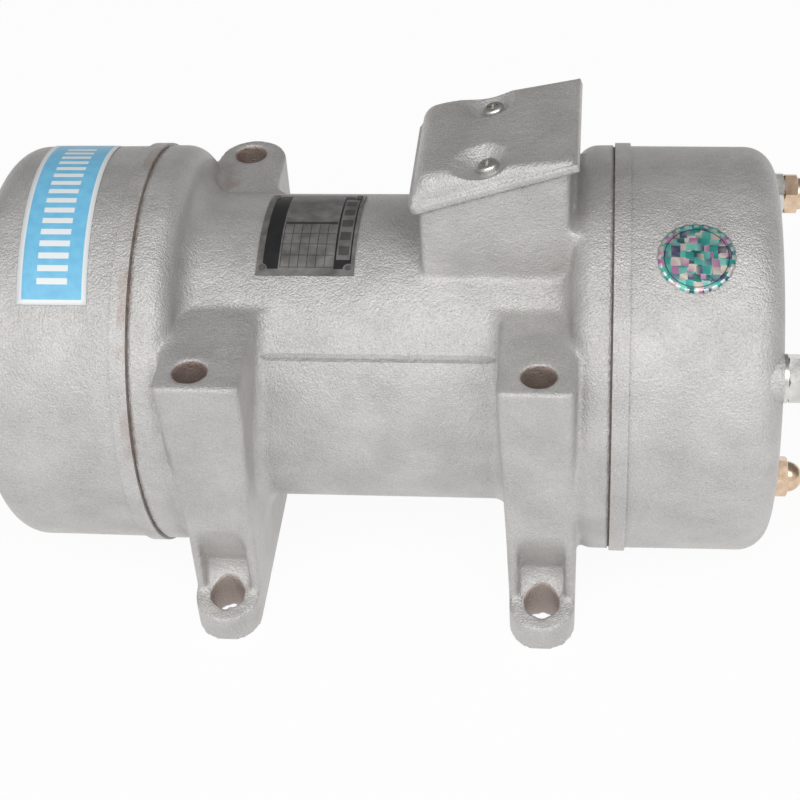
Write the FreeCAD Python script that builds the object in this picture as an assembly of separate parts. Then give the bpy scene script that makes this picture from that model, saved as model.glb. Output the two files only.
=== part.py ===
"""External vibration motor: a squirrel-cage motor in a four-footed casting, with a stack of
half-moon weights on each shaft end under a deep round cover.

Frame: X along the shaft, Z up, the operator's side towards -Y. The origin is the centre of the
foot bolt pattern on the base plane. Lengths are in millimetres, angles in degrees.
"""
import FreeCAD
import Part
import math
import os

V = FreeCAD.Vector
X, Y, Z = V(1, 0, 0), V(0, 1, 0), V(0, 0, 1)

# ---- fits ----
SLIP = 0.02              # radial clearance of a seat that is pushed together
SCREW_GAP = 0.1          # radial clearance of a screw in its thread or hole
RUN_GAP = 0.4            # radial gap of a turning piece in a fixed one
AIR_GAP = 0.4            # rotor to stator
BALL_GAP = 0.04          # ball to track

# ---- casting: barrel and end flanges ----
AXIS_HEIGHT = 92.0       # shaft axis above the base plane
BARREL_RADIUS = 67.4
BORE_RADIUS = 58.0       # stator seat
STEP_HEIGHT = 0.8        # how far the lower barrel stands proud below the cast line
CAST_LINE_ANGLE = 34.5   # the cast line's height on the barrel, up from the horizontal
SEAM_X = 98.0            # machined end faces of the casting
FLANGE_RADIUS = BARREL_RADIUS + 21.6
FLANGE_THICK = 16.0
FLANGE_ROUND = 9.5       # rounding of the flange's inner edge
FLANGE_FILLET = 9.0      # fillet from flange to barrel
REGISTER_RADIUS = BORE_RADIUS + 9        # recess for the bearing shield
REGISTER_DEPTH = 10.0

# ---- casting: legs, feet and upper ledges ----
FOOT_X = 70.0            # foot bolts, half spacing along X
FOOT_Y = 84.0            # foot bolts, half spacing along Y
FOOT_HOLE_RADIUS = 7.3
LEG_WIDTH = 28.6
PAD_HEIGHT = 16.0        # foot thickness at the bolt
PAD_SLOPE_ANGLE = 12.0   # the foot's top falls outwards
LEDGE_HEIGHT = AXIS_HEIGHT + 52.5        # top of the upper ledges above the base plane
LEDGE_REACH = 96.0       # front ledge's outer edge from the axis
LEDGE_HOLE_Y = 84.0
LEDGE_HOLE_RADIUS = 7.0
LEDGE_HOLE_DEPTH = 18.0
EAR_REACH = 88.0         # rounded rear ledge's outer end from the axis
EAR_HOLE_Y = 76.0
LEG_FLARE = 2.4          # how much wider the leg is at the ledge, on its inner side
KNEE_HEIGHT = 47.0       # where the leg's front face ends above the foot
RIB_THICK = 4.2          # side ribs beside the bolt pocket
POCKET_DEPTH = 11.0      # bolt pocket behind the bolt axis
LEG_ROUND = 3.0          # rounding of the leg's upright edges
LEG_FILLET = 10.0        # fillet from the leg's inner side to the barrel
KNEE_SETBACK = 1.5       # the leg's lower front face behind the bolt axis

# ---- casting: terminal box ----
BOX_LEFT, BOX_RIGHT = 19.6, 80.8
BOX_HALF_DEPTH = 30.5
BOX_WALL = 4.5
BOX_ROUND = 2.5
BOX_FLOOR = AXIS_HEIGHT + BARREL_RADIUS
BOX_TOP_LEFT = BOX_FLOOR + 25.1          # height of the lid seat at the box's left face
LID_TILT_ANGLE = 17.5
LEAD_HOLE_RADIUS = 6.0
LEAD_HOLE_X = 69.0
PILLAR_WALL = 3.0        # material round a lid screw

# ---- end covers and their studs ----
GASKET_THICK = 0.8
COVER_LENGTH = 68.2
COVER_RADIUS = FLANGE_RADIUS - 0.4
COVER_TAPER = 0.3        # the cover's loss of radius from rim to end
COVER_WALL = 5.0
COVER_END_ROUND = 13.0
COVER_SPOT_DEPTH = 0.6   # spot faces for the washers, behind the cover's end face
SPOT_MARGIN = 0.6        # spot face beyond the washer
RIM_RADIUS = FLANGE_RADIUS + 1
RIM_WIDTH = 6.6
STUD_RADIUS = 6.0
STUD_CIRCLE = FLANGE_RADIUS - 13.1
STUD_ANGLES = (30.0, 150.0, 270.0)
STUD_THREAD = 13.0       # stud length in the flange
NUT_FLATS = 18.0
NUT_HEIGHT = 7.0
WASHER_THICK = 1.6
WASHER_RADIUS = 10.0
CAP_NUT_FLATS = 17.0
CAP_NUT_HEX = 6.0
CAP_NUT_DOME = 7.2       # dome radius

# ---- shaft, rotor and stator ----
STACK_HALF = 42.0
ROTOR_RADIUS = 33.0
SHAFT_CORE_RADIUS = 17.0
SHAFT_SHOULDER_RADIUS = 15.0
SHAFT_SEAT_RADIUS = 12.5
SHAFT_WEIGHT_RADIUS = 12.0
SHAFT_THREAD_RADIUS = 10.0
END_RING_LENGTH = 10.0
WINDING_LENGTH = 24.0
WINDING_EDGE = 5.0       # winding inside the stator's outer radius
WINDING_ROUND = 6.0

# ---- bearings and their shields ----
BEARING_OUTER = 31.0
BEARING_WIDTH = 17.0
BEARING_FACE_X = 96.0    # outer face of the bearing
BALL_RADIUS = 5.6
BALL_COUNT = 7
PITCH_RADIUS = 21.75
CAGE_HALF_WALL = 1.2
CAGE_EDGE = 1.2          # cage beside the balls
SHIELD_HUB_RADIUS = 42.0
SHIELD_LIP = 3.0
BEARING_COVER_RADIUS = 41.0
BEARING_COVER_THICK = 5.0
SLEEVE_WALL = 3.0        # spacer sleeve between bearing and weights
SEAL_WALL = 3.0
SMALL_SCREW_RADIUS = 2.5
SMALL_HEAD_RADIUS = 4.2
SMALL_HEAD_HEIGHT = 5.0
SHIELD_SCREWS = 6
COVER_SCREWS = 3

# ---- eccentric weights ----
WEIGHT_RADIUS = 60.0
WEIGHT_THICK = 17.0
WEIGHT_GAP = 1.0
WEIGHT_HUB_RADIUS = 22.0
WEIGHT_STEP = 4.0        # how far the half disc reaches above the axis
CLAMP_EAR_RISE = 12.0    # clamp lugs above the hub
CLAMP_EAR_HALF = 14.0
CLAMP_EAR_ROUND = 4.0
CLAMP_BOLT_FLATS = 13.0
CLAMP_HEAD_HEIGHT = 5.5
CLAMP_NUT_HEIGHT = 6.5
CLAMP_BOLT_END = 2.5     # bolt end beyond its nut
FIRST_WEIGHT_X = 108.0
CLAMP_SLIT = 2.5
CLAMP_BOLT_RADIUS = 4.0
KEY_WIDTH = 8.0
KEY_HEIGHT = 7.0
KEY_SUNK = 4.0           # key depth in the shaft
END_WASHER_RADIUS = 18.0
END_WASHER_THICK = 3.0
END_NUT_FLATS = 30.0
END_NUT_HEIGHT = 9.0

# ---- terminal box fittings ----
LID_OVERHANG = 3.0
LID_NOSE = 1.6           # further overhang at the right end
LID_CORNER = 5.0
LID_INSET = 1.6          # crown behind the rim's edge
LID_SCREW_SEAT = 1.4     # screw seat above the rim
LID_RIM = 3.6
LID_CROWN_LEFT, LID_CROWN_RIGHT = 12.0, 3.4
LID_SCREW_Y = 21.5
LID_GASKET = 1.0
LID_SCREW_RADIUS = 2.5
LID_SCREW_HEAD = 4.6
LID_HEAD_HEIGHT = 3.2
LID_SCREW_GRIP = 12.0    # thread in the pillar
BOARD_LENGTH, BOARD_WIDTH, BOARD_THICK = 38.0, 26.0, 6.0
BOARD_RAISE = 2.1        # feet below the terminal board
BOARD_SHIFT = 4.0        # board off the middle of the box
BOARD_FOOT_WIDTH = 5.0
BARRIER_THICK = 1.6
BARRIER_HEIGHT = 5.0
TERMINAL_RADIUS = 2.5
TERMINAL_PITCH = 12.0
TERMINAL_LENGTH = 12.0   # stud above the board
TERMINAL_FLATS = 8.0
TERMINAL_NUT_HEIGHT = 4.0
LUG_THICK = 1.0
LUG_RADIUS = 4.8
LUG_WIDTH = 3.4
LEAD_RADIUS = 1.3
LEAD_BEND = 1.45
LEAD_LANE = 3.0          # spacing of the leads
EARTH_X, EARTH_Y = 31.0, -20.0
EARTH_RADIUS = 2.0
EARTH_LENGTH = 8.0
EARTH_HEAD = 3.8
EARTH_HEAD_HEIGHT = 2.6
GLAND_HEIGHT = BOX_FLOOR + 8.6
GLAND_X = 33.0
GLAND_THREAD_RADIUS = 8.0
GLAND_BORE_RADIUS = 6.2
CABLE_RADIUS = 4.5
GLAND_FLATS = 22.0
GLAND_HEX = 7.0
GLAND_NOSE = 7.0
GLAND_NUT_LENGTH = 14.0
GLAND_DOME = 4.0
GLAND_MOUTH_WALL = 2.5

# ---- rating plate ----
PLATE_LEFT, PLATE_RIGHT = -50.6, -9.0
PLATE_LOW_ANGLE, PLATE_HIGH_ANGLE = 63.5, 112.0    # round the barrel, up from the horizontal
PLATE_THICK = 0.8
RIVET_RADIUS = 1.2
RIVET_HEAD = 0.6
RIVET_EDGE = 2.6         # rivet from the plate's side
RIVET_ANGLE = 3.0        # rivet from the plate's lower or upper edge

AXIS = V(0, 0, AXIS_HEIGHT)
LEG_LEFT = FOOT_X - LEG_WIDTH / 2
LEG_RIGHT = FOOT_X + LEG_WIDTH / 2
COVER_FACE_X = SEAM_X + GASKET_THICK
COVER_END_X = COVER_FACE_X + COVER_LENGTH


def turned(points, start=0.0, sweep=360.0):
    """Turn a closed outline of (x, radius) points round the shaft axis."""
    corners = [V(x, -r, AXIS_HEIGHT) for x, r in points]
    face = Part.Face(Part.makePolygon(corners + corners[:1]))
    if start:
        face.rotate(AXIS, X, start)
    return face.revolve(AXIS, X, sweep)


def disc(x0, x1, radius, y=0.0, z=AXIS_HEIGHT):
    """A cylinder along X from x0 to x1."""
    return Part.makeCylinder(radius, x1 - x0, V(x0, y, z), X)


def ring(x0, x1, inner, outer):
    return disc(x0, x1, outer).cut(disc(x0 - 1, x1 + 1, inner))


def block(x0, x1, y0, y1, z0, z1):
    return Part.makeBox(x1 - x0, y1 - y0, z1 - z0, V(x0, y0, z0))


def prism(points, direction, place):
    """Extrude a closed outline; place turns each pair of numbers into a point."""
    corners = [place(a, b) for a, b in points]
    return Part.Face(Part.makePolygon(corners + corners[:1])).extrude(direction)


def hexagon(flats, height, centre, direction):
    """A hexagonal prism along X, Y or Z with one flat facing sideways."""
    reach = flats / math.sqrt(3)
    corners = []
    for step in range(7):
        angle = math.radians(60 * step)
        corners.append(V(reach * math.cos(angle), reach * math.sin(angle), 0))
    solid = Part.Face(Part.makePolygon(corners)).extrude(V(0, 0, height))
    solid.Placement = FreeCAD.Placement(centre, FreeCAD.Rotation(Z, direction))
    return solid


def rounded(shape, radius, wanted):
    """Round the edges of a shape that the test picks out."""
    edges = [edge for edge in shape.Edges if wanted(edge)]
    return shape.makeFillet(radius, edges)


def upright(edge):
    ends = [vertex.Point for vertex in edge.Vertexes]
    if len(ends) < 2:
        return False
    run = ends[1] - ends[0]
    return abs(run.z) > 0.7 * run.Length


def other_end(shape):
    """The same piece at the other end of the shaft."""
    return shape.mirror(V(0, 0, 0), X)


def round_axis(shape, angle):
    copy = shape.copy()
    copy.rotate(AXIS, X, angle)
    return copy


def stud_places():
    for angle in STUD_ANGLES:
        turn = math.radians(angle)
        yield -STUD_CIRCLE * math.cos(turn), AXIS_HEIGHT + STUD_CIRCLE * math.sin(turn)


def group(shapes):
    return Part.makeCompound(shapes)


def both_ends(shape):
    return group([other_end(shape), shape])


# ======== casting ========
def barrel_and_flanges():
    """One turned outline: barrel, fillet, flange face, rounded edge and rim, on both ends."""
    face_x = SEAM_X - FLANGE_THICK
    half = [(SEAM_X, 0.0), (SEAM_X, FLANGE_RADIUS), (face_x + FLANGE_ROUND, FLANGE_RADIUS)]
    edges = [Part.LineSegment(V(half[i][0], -half[i][1], 0), V(half[i + 1][0], -half[i + 1][1], 0))
             for i in range(2)]
    slant = math.sqrt(0.5)
    round_mid = (face_x + FLANGE_ROUND * (1 - slant), FLANGE_RADIUS - FLANGE_ROUND * (1 - slant))
    round_end = (face_x, FLANGE_RADIUS - FLANGE_ROUND)
    fillet_top = (face_x, BARREL_RADIUS + FLANGE_FILLET)
    fillet_mid = (face_x - FLANGE_FILLET * (1 - slant), BARREL_RADIUS + FLANGE_FILLET * (1 - slant))
    fillet_end = (face_x - FLANGE_FILLET, BARREL_RADIUS)

    def at(pair):
        return V(pair[0], -pair[1], 0)

    edges.append(Part.Arc(at(half[2]), at(round_mid), at(round_end)))
    edges.append(Part.LineSegment(at(round_end), at(fillet_top)))
    edges.append(Part.Arc(at(fillet_top), at(fillet_mid), at(fillet_end)))
    edges.append(Part.LineSegment(at(fillet_end), at((0, BARREL_RADIUS))))
    edges.append(Part.LineSegment(at((0, BARREL_RADIUS)), at((0, 0))))
    edges.append(Part.LineSegment(at((0, 0)), at((SEAM_X, 0))))
    face = Part.Face(Part.Wire([edge.toShape() for edge in edges]))
    face.translate(AXIS)
    right = face.revolve(AXIS, X, 360)
    return right.fuse(other_end(right)).removeSplitter()


def lower_barrel():
    """The part of the barrel below the cast line, a little proud of the upper part."""
    reach = SEAM_X - FLANGE_THICK - FLANGE_FILLET / 2
    solid = Part.makeCylinder(BARREL_RADIUS + STEP_HEIGHT, 2 * reach, V(-reach, 0, 0), X)
    top = BARREL_RADIUS * math.sin(math.radians(CAST_LINE_ANGLE))
    solid = solid.cut(block(-SEAM_X, SEAM_X, -FLANGE_RADIUS, FLANGE_RADIUS, top, FLANGE_RADIUS))
    solid.translate(AXIS)
    return solid


def foot():
    """One front foot with its sloping pad, rounded end and bolt pocket's floor."""
    end = Part.makeCylinder(LEG_WIDTH / 2, 2 * PAD_HEIGHT, V(FOOT_X, -FOOT_Y, 0), Z)
    bar = block(LEG_LEFT, LEG_RIGHT, -FOOT_Y, 0, 0, 2 * PAD_HEIGHT)
    solid = end.fuse(bar).removeSplitter()
    cutter = block(LEG_LEFT - 1, LEG_RIGHT + 1, -2 * FOOT_Y, FOOT_Y, 0, 3 * PAD_HEIGHT)
    cutter.translate(V(0, FOOT_Y, 0))
    cutter.rotate(V(0, 0, 0), X, PAD_SLOPE_ANGLE)
    cutter.translate(V(0, -FOOT_Y, PAD_HEIGHT))
    return solid.cut(cutter)


def column():
    """One front leg above its foot: sloping face, bolt pocket between two ribs, flared top."""
    knee_y = -(FOOT_Y - KNEE_SETBACK)
    side = [(-LEDGE_REACH, LEDGE_HEIGHT), (0, LEDGE_HEIGHT), (0, 0), (knee_y, 0),
            (knee_y, KNEE_HEIGHT)]
    flare_left = LEG_LEFT - LEG_FLARE
    solid = prism(side, V(LEG_RIGHT - flare_left, 0, 0), lambda y, z: V(flare_left, y, z))
    taper = [(flare_left - 1, 0), (LEG_LEFT, 0), (flare_left, LEDGE_HEIGHT + 1),
             (flare_left - 1, LEDGE_HEIGHT + 1)]
    solid = solid.cut(prism(taper, V(0, 2 * LEDGE_REACH, 0), lambda x, z: V(x, -1.5 * LEDGE_REACH, z)))
    return rounded(solid, LEG_ROUND, lambda edge: upright(edge) and edge.BoundBox.YMax < -FOOT_Y / 2)


def bolt_pocket():
    """The scoop over a front foot's pad, between the ribs, with a rounded back."""
    back = -(FOOT_Y - POCKET_DEPTH)
    slope = math.tan(math.radians(PAD_SLOPE_ANGLE))
    floor = PAD_HEIGHT + (FOOT_Y + back) * slope
    low = [V(0, back, floor + 9), V(0, back - 2.6, floor + 2.4), V(0, back - 9, floor - 9 * slope)]
    outer = -FOOT_Y - LEG_WIDTH
    edges = [
        Part.Arc(*low).toShape(),
        Part.makeLine(low[2], V(0, outer, PAD_HEIGHT + (FOOT_Y + outer) * slope)),
        Part.makeLine(V(0, outer, PAD_HEIGHT + (FOOT_Y + outer) * slope), V(0, outer, KNEE_HEIGHT + 16)),
        Part.makeLine(V(0, outer, KNEE_HEIGHT + 16), V(0, -FOOT_Y, KNEE_HEIGHT + 8)),
        Part.makeLine(V(0, -FOOT_Y, KNEE_HEIGHT + 8), low[0]),
    ]
    width = LEG_WIDTH - 2 * RIB_THICK
    face = Part.Face(Part.Wire(edges))
    face.translate(V(FOOT_X - width / 2, 0, 0))
    return face.extrude(V(width, 0, 0))


def leg_fillet():
    """The hollow rounding between the leg's inner side and the barrel, cut to the leg's outline."""
    slant = math.sqrt(0.5)
    start, top = LEG_LEFT - LEG_FILLET, BARREL_RADIUS + LEG_FILLET
    foot_end, head_end = V(start, -BARREL_RADIUS, 0), V(LEG_LEFT, -top, 0)
    middle = V(start + LEG_FILLET * slant, LEG_FILLET * slant - top, 0)
    depth = BARREL_RADIUS - 1
    corners = [head_end, V(LEG_LEFT + 1, -top, 0), V(LEG_LEFT + 1, -depth, 0), V(start, -depth, 0), foot_end]
    edges = [Part.makeLine(corners[i], corners[i + 1]) for i in range(4)]
    edges.append(Part.Arc(foot_end, middle, head_end).toShape())
    face = Part.Face(Part.Wire(edges))
    face.translate(AXIS)
    sweep = face.revolve(AXIS, X, 360)
    return sweep.common(block(start - 1, LEG_RIGHT, -LEDGE_REACH, 0, 0, LEDGE_HEIGHT))


def front_leg():
    leg = column().cut(bolt_pocket()).fuse([foot(), leg_fillet()])
    hole = Part.makeCylinder(LEDGE_HOLE_RADIUS, LEDGE_HOLE_DEPTH,
                             V(FOOT_X, -LEDGE_HOLE_Y, LEDGE_HEIGHT - LEDGE_HOLE_DEPTH), Z)
    return leg.cut(hole)


def rear_leg():
    """The rear leg has the same foot, but its ledge ends in a rounded ear."""
    half_width = (LEG_WIDTH + LEG_FLARE) / 2
    middle = LEG_RIGHT - half_width
    plan = Part.makeCylinder(half_width, LEDGE_HEIGHT, V(middle, half_width - EAR_REACH, 0), Z)
    plan = plan.fuse(block(middle - half_width, LEG_RIGHT, half_width - EAR_REACH, 0, 0, LEDGE_HEIGHT))
    leg = column().common(plan.removeSplitter()).cut(bolt_pocket()).fuse([foot(), leg_fillet()])
    hole = Part.makeCylinder(LEDGE_HOLE_RADIUS, LEDGE_HOLE_DEPTH,
                             V(FOOT_X, -EAR_HOLE_Y, LEDGE_HEIGHT - LEDGE_HOLE_DEPTH), Z)
    return leg.cut(hole).mirror(V(0, 0, 0), Y)


def lid_place():
    """The lid's own frame: its origin on the seat at the box's left face, X up the slope."""
    turn = FreeCAD.Rotation(Y, -LID_TILT_ANGLE)
    return FreeCAD.Placement(V(BOX_LEFT, 0, BOX_TOP_LEFT), turn)


def placed(shape, place):
    copy = shape.copy()
    copy.Placement = place.multiply(copy.Placement)
    return copy


def above_seat(depth=0.0):
    """Everything above the lid seat, or above a plane that far below it."""
    reach = BOX_RIGHT - BOX_LEFT
    big = Part.makeBox(3 * reach, 4 * reach, 2 * reach, V(-reach, -2 * reach, -depth))
    return placed(big, lid_place())


def box_outside():
    top = BOX_TOP_LEFT + BOX_RIGHT - BOX_LEFT
    solid = block(BOX_LEFT, BOX_RIGHT, -BOX_HALF_DEPTH, BOX_HALF_DEPTH, AXIS_HEIGHT, top)
    solid = rounded(solid, BOX_ROUND, upright).cut(above_seat())
    flange_top = AXIS_HEIGHT + math.sqrt(FLANGE_RADIUS ** 2 - BOX_HALF_DEPTH ** 2)
    web = block(BOX_RIGHT - BOX_WALL, SEAM_X - FLANGE_THICK / 2, -BOX_HALF_DEPTH, BOX_HALF_DEPTH,
                AXIS_HEIGHT, flange_top - 1)
    return solid.fuse(rounded(web, BOX_ROUND, upright))


def box_inside():
    solid = block(BOX_LEFT + BOX_WALL, BOX_RIGHT - BOX_WALL, BOX_WALL - BOX_HALF_DEPTH,
                  BOX_HALF_DEPTH - BOX_WALL, BOX_FLOOR, 2 * BOX_FLOOR)
    return rounded(solid, BOX_ROUND, upright)


def seat_length():
    return (BOX_RIGHT - BOX_LEFT) / math.cos(math.radians(LID_TILT_ANGLE))


def lid_screw_places():
    """Places of the two lid screws in the lid's own frame."""
    return [V(seat_length() / 2, side * LID_SCREW_Y, 0) for side in (-1, 1)]


def housing():
    solid = barrel_and_flanges().fuse([lower_barrel(), front_leg(), other_end(front_leg()),
                                       rear_leg(), other_end(rear_leg()), box_outside()])
    bore = disc(-SEAM_X, SEAM_X, BORE_RADIUS)
    register = disc(SEAM_X - REGISTER_DEPTH, SEAM_X + 1, REGISTER_RADIUS)
    cuts = [bore, register, other_end(register), box_inside()]
    pillar_radius = LID_SCREW_RADIUS + PILLAR_WALL
    floor, tall = BOX_FLOOR - 2, BOX_RIGHT - BOX_LEFT
    pillars = []
    for spot in lid_screw_places():
        top = lid_place().multVec(spot)
        side = 1 if top.y > 0 else -1
        base = V(top.x, side * (BOX_HALF_DEPTH - BOX_WALL - pillar_radius + 2), floor)
        post = Part.makeCylinder(pillar_radius, tall, base, Z)
        wall = side * (BOX_HALF_DEPTH - BOX_WALL / 2)
        web = block(top.x - pillar_radius, top.x + pillar_radius, min(base.y, wall), max(base.y, wall),
                    floor, floor + tall)
        pillars.append(post.fuse(web).cut(above_seat()))
    lead_hole = Part.makeCylinder(LEAD_HOLE_RADIUS, BARREL_RADIUS, V(LEAD_HOLE_X, 0, AXIS_HEIGHT), Z)
    cuts += [lead_hole, Part.makeCylinder(GLAND_THREAD_RADIUS + SCREW_GAP, 2 * BOX_WALL,
                                          gland_at(BOX_HALF_DEPTH - 1.5 * BOX_WALL), Y)]
    cuts.append(Part.makeCylinder(EARTH_RADIUS + SCREW_GAP, EARTH_LENGTH + 1,
                                  V(EARTH_X, EARTH_Y, BOX_FLOOR - EARTH_LENGTH), Z))
    for x in (-FOOT_X, FOOT_X):
        for y in (-FOOT_Y, FOOT_Y):
            cuts.append(Part.makeCylinder(FOOT_HOLE_RADIUS, 2 * PAD_HEIGHT, V(x, y, -1), Z))
    for y, z in stud_places():
        hole = disc(SEAM_X - STUD_THREAD - 1, SEAM_X + 1, STUD_RADIUS + SCREW_GAP, y, z)
        cuts += [hole, other_end(hole)]
    screw = shield_screw_hole()
    for step in range(SHIELD_SCREWS):
        hole = round_axis(screw, 360 * step / SHIELD_SCREWS + 60)
        cuts += [hole, other_end(hole)]
    solid = solid.cut(cuts).fuse(pillars)
    for spot in lid_screw_places():
        hole = Part.makeCylinder(LID_SCREW_RADIUS + SCREW_GAP, LID_SCREW_GRIP + 3,
                                 spot - Z * (LID_SCREW_GRIP + 2), Z)
        solid = solid.cut(placed(hole, lid_place()))
    return solid.removeSplitter()


def shield_screw_hole():
    middle = (BORE_RADIUS + REGISTER_RADIUS) / 2
    seat = SEAM_X - REGISTER_DEPTH
    return disc(seat - 12, seat + 1, SMALL_SCREW_RADIUS + SCREW_GAP, -middle)


# ======== end covers ========
def end_cover():
    start, end = COVER_FACE_X, COVER_END_X
    inner_round = COVER_END_ROUND - COVER_WALL
    slant = math.sqrt(0.5)

    def corner(x, r, radius):
        centre = (x - radius, r - radius)
        return [V(centre[0], -(centre[1] + radius), 0),
                V(centre[0] + radius * slant, -(centre[1] + radius * slant), 0),
                V(centre[0] + radius, -centre[1], 0)]

    far_radius = COVER_RADIUS - COVER_TAPER
    outside = corner(end, far_radius, COVER_END_ROUND)
    inside = corner(end - COVER_WALL, far_radius - COVER_WALL, inner_round)
    points = [V(start, -(REGISTER_RADIUS + 2), 0), V(start, -RIM_RADIUS, 0),
              V(start + RIM_WIDTH, -RIM_RADIUS, 0), V(start + RIM_WIDTH, -COVER_RADIUS, 0), outside[0]]
    edges = [Part.makeLine(points[i], points[i + 1]) for i in range(len(points) - 1)]
    edges.append(Part.Arc(*outside).toShape())
    rest = [outside[2], V(end, 0, 0), V(end - COVER_WALL, 0, 0), inside[2]]
    edges += [Part.makeLine(rest[i], rest[i + 1]) for i in range(3)]
    edges.append(Part.Arc(*inside[::-1]).toShape())
    rest = [inside[0], V(start + RIM_WIDTH, -(COVER_RADIUS - COVER_WALL), 0),
            V(start + RIM_WIDTH, -(REGISTER_RADIUS + 2), 0), points[0]]
    edges += [Part.makeLine(rest[i], rest[i + 1]) for i in range(3)]
    face = Part.Face(Part.Wire(edges))
    face.translate(AXIS)
    cover = face.revolve(AXIS, X, 360)
    spot_faces, holes = [], []
    for y, z in stud_places():
        holes.append(disc(start - 1, end + 1, STUD_RADIUS + SCREW_GAP, y, z))
        seat = end - COVER_SPOT_DEPTH
        spot_faces.append(disc(seat, end + COVER_END_ROUND, WASHER_RADIUS + SPOT_MARGIN, y, z))
        cover = cover.fuse(disc(end - COVER_END_ROUND, seat, WASHER_RADIUS + SPOT_MARGIN, y, z))
    return cover.cut(holes + spot_faces).removeSplitter()


def cover_gasket():
    gasket = ring(SEAM_X, COVER_FACE_X, REGISTER_RADIUS + 2, FLANGE_RADIUS - GASKET_THICK)
    return gasket.cut([disc(SEAM_X - 1, COVER_FACE_X + 1, STUD_RADIUS + SCREW_GAP, y, z)
                       for y, z in stud_places()])


def stud_stack():
    """Stud, washer, hexagon nut and domed cap nut for each stud place of the right cover."""
    stack = {"stud": [], "washer": [], "nut": [], "cap_nut": []}
    for y, z in stud_places():
        x = COVER_END_X - COVER_SPOT_DEPTH
        thread_end = x + WASHER_THICK + NUT_HEIGHT + CAP_NUT_HEX
        stack["stud"].append(disc(SEAM_X - STUD_THREAD, thread_end, STUD_RADIUS, y, z))
        bore = disc(x - 1, thread_end, STUD_RADIUS + SLIP, y, z)
        stack["washer"].append(disc(x, x + WASHER_THICK, WASHER_RADIUS, y, z).cut(bore))
        x += WASHER_THICK
        nut = hexagon(NUT_FLATS, NUT_HEIGHT, V(x, y, z), X)
        nut = nut.common(chamfer_cone(x, NUT_HEIGHT, NUT_FLATS, y, z))
        stack["nut"].append(nut.cut(bore))
        x += NUT_HEIGHT
        body = hexagon(CAP_NUT_FLATS, CAP_NUT_HEX, V(x, y, z), X)
        body = body.common(chamfer_cone(x, CAP_NUT_HEX, CAP_NUT_FLATS, y, z))
        dome = Part.makeSphere(CAP_NUT_DOME, V(x + CAP_NUT_HEX, y, z))
        dome = dome.common(disc(x + CAP_NUT_HEX / 2, x + 4 * CAP_NUT_HEX, CAP_NUT_DOME, y, z))
        stack["cap_nut"].append(body.fuse(dome).cut(bore))
    return stack


def chamfer_cone(x, height, flats, y, z):
    """Two cones back to back, which take the corners off a hexagon."""
    reach = flats / math.sqrt(3)
    grip = flats / 2 + 0.1
    rise = 0.6 * (reach - grip)
    cone = Part.makeCone(grip, reach + 3, rise + 1.8, V(x, y, z), X)
    body = disc(x + rise + 1.8, x + height + 5, reach + 3, y, z)
    top = Part.makeCone(reach + 3, grip, rise + 1.8, V(x + height - rise - 1.8, y, z), X)
    body_top = disc(x - 5, x + height - rise - 1.8, reach + 3, y, z)
    return cone.fuse(body).common(top.fuse(body_top))


# ======== stator and rotor ========
def stator_core():
    return ring(-STACK_HALF, STACK_HALF, ROTOR_RADIUS + AIR_GAP, BORE_RADIUS - SLIP)


def stator_winding():
    """One end winding: a bundle with rounded corners against the end of the stack."""
    inner = ROTOR_RADIUS + AIR_GAP + 4
    outer = BORE_RADIUS - WINDING_EDGE
    solid = ring(STACK_HALF, STACK_HALF + WINDING_LENGTH, inner, outer)
    return rounded(solid, WINDING_ROUND, lambda edge: edge.BoundBox.XMin > STACK_HALF + WINDING_LENGTH - 0.1
                   and abs(edge.Length - 2 * math.pi * edge.Curve.Radius) < 0.1)


def shaft():
    inner_face = BEARING_FACE_X - BEARING_WIDTH
    weights_end = FIRST_WEIGHT_X + 2 * WEIGHT_THICK + WEIGHT_GAP
    thread_end = weights_end + END_WASHER_THICK + END_NUT_HEIGHT + 2
    core = STACK_HALF + END_RING_LENGTH + 2
    half = [(0, 0), (0, SHAFT_CORE_RADIUS), (core, SHAFT_CORE_RADIUS), (core, SHAFT_SHOULDER_RADIUS),
            (inner_face, SHAFT_SHOULDER_RADIUS), (inner_face, SHAFT_SEAT_RADIUS),
            (FIRST_WEIGHT_X, SHAFT_SEAT_RADIUS), (FIRST_WEIGHT_X, SHAFT_WEIGHT_RADIUS),
            (weights_end - 1, SHAFT_WEIGHT_RADIUS), (weights_end - 1, SHAFT_THREAD_RADIUS),
            (thread_end - 1.5, SHAFT_THREAD_RADIUS), (thread_end, SHAFT_THREAD_RADIUS - 1.5),
            (thread_end, 0)]
    right = turned(half)
    solid = right.fuse(other_end(right)).removeSplitter()
    slot = key_blank(SLIP)
    return solid.cut([slot, other_end(slot)])


def key_blank(gap):
    """The key that both weights of one end share, or with a gap its slot."""
    length = 2 * WEIGHT_THICK + WEIGHT_GAP - 2
    low = AXIS_HEIGHT + SHAFT_WEIGHT_RADIUS - KEY_SUNK
    return block(FIRST_WEIGHT_X + 1 - gap, FIRST_WEIGHT_X + 1 + length + gap, -KEY_WIDTH / 2 - gap,
                 KEY_WIDTH / 2 + gap, low - gap, low + KEY_HEIGHT + gap)


def rotor_core():
    return ring(-STACK_HALF, STACK_HALF, SHAFT_CORE_RADIUS + SLIP, ROTOR_RADIUS)


def rotor_end_ring():
    return ring(STACK_HALF, STACK_HALF + END_RING_LENGTH, SHAFT_CORE_RADIUS + 4, ROTOR_RADIUS - 0.5)


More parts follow.
